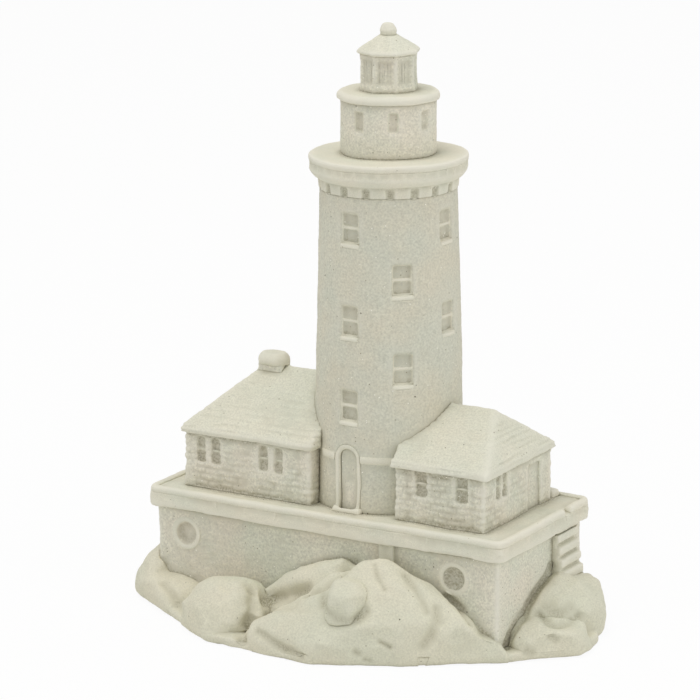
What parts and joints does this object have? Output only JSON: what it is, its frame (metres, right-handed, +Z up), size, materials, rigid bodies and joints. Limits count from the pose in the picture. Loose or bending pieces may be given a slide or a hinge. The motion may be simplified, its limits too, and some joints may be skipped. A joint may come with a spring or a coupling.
{
  "type": "garden lighthouse ornament",
  "caption": "Small free-standing ornament cast in sand and resin: a round lighthouse between two hipped houses on a pier wall, with boulders round its foot.",
  "frame": {"origin": "on the tower's axis, at the flat underside that the ornament stands on", "axes": "+Z up the tower, +X to the right along the front, -Y towards the front with the door"},
  "size_m": [0.1359, 0.0876, 0.1649],
  "materials": {
    "cast_wall": "matt, fine sand grain",
    "cast_trim": "matt, rubbed smooth at the edges",
    "cast_roof": "matt, coarse shingle relief",
    "cast_rock": "matt, smooth lumps with grainy hollows"
  },
  "bodies": {
    "root": {"ball_boulder": "cast_rock", "centre_boulder": "cast_rock", "chimney_cap": "cast_trim", "chimney_stack": "cast_wall", "coping_lip": "cast_trim", "coping_posts": "cast_trim", "deck_slab": "cast_wall", "door_frame": "cast_trim", "door_leaf": "cast_wall", "door_step": "cast_trim", "finial": "cast_trim", "front_left_boulder": "cast_rock", "front_right_rock": "cast_rock", "gallery_corbels": "cast_trim", "gallery_lip": "cast_trim", "gallery_slab": "cast_trim", "lantern_gallery": "cast_trim", "lantern_panes": "cast_wall", "lantern_roof": "cast_roof", "lantern_room": "cast_wall", "leaning_slab": "cast_rock", "left_bay_eave": "cast_trim", "left_glazing_bars": "cast_trim", "left_house_walls": "cast_wall", "left_rear_rock": "cast_rock", "left_roof": "cast_roof", "left_side_rock": "cast_rock", "pier_wall": "cast_wall", "porthole_rings": "cast_trim", "rail_posts": "cast_trim", "rear_deck_block": "cast_wall", "rear_left_boulder": "cast_rock", "rear_middle_boulder": "cast_rock", "rear_right_boulder": "cast_rock", "right_bay_eave": "cast_trim", "right_corner_rock": "cast_rock", "right_glazing_bars": "cast_trim", "right_house_door": "cast_wall", "right_house_walls": "cast_wall", "right_roof": "cast_roof", "right_stair_rock": "cast_rock", "rock_base": "cast_rock", "stair_flight": "cast_trim", "tower_sashes": "cast_trim", "tower_shaft": "cast_wall", "tower_sills": "cast_trim", "wall_block": "cast_trim", "watch_room": "cast_wall", "watch_sashes": "cast_trim"}
  },
  "joints": []
}
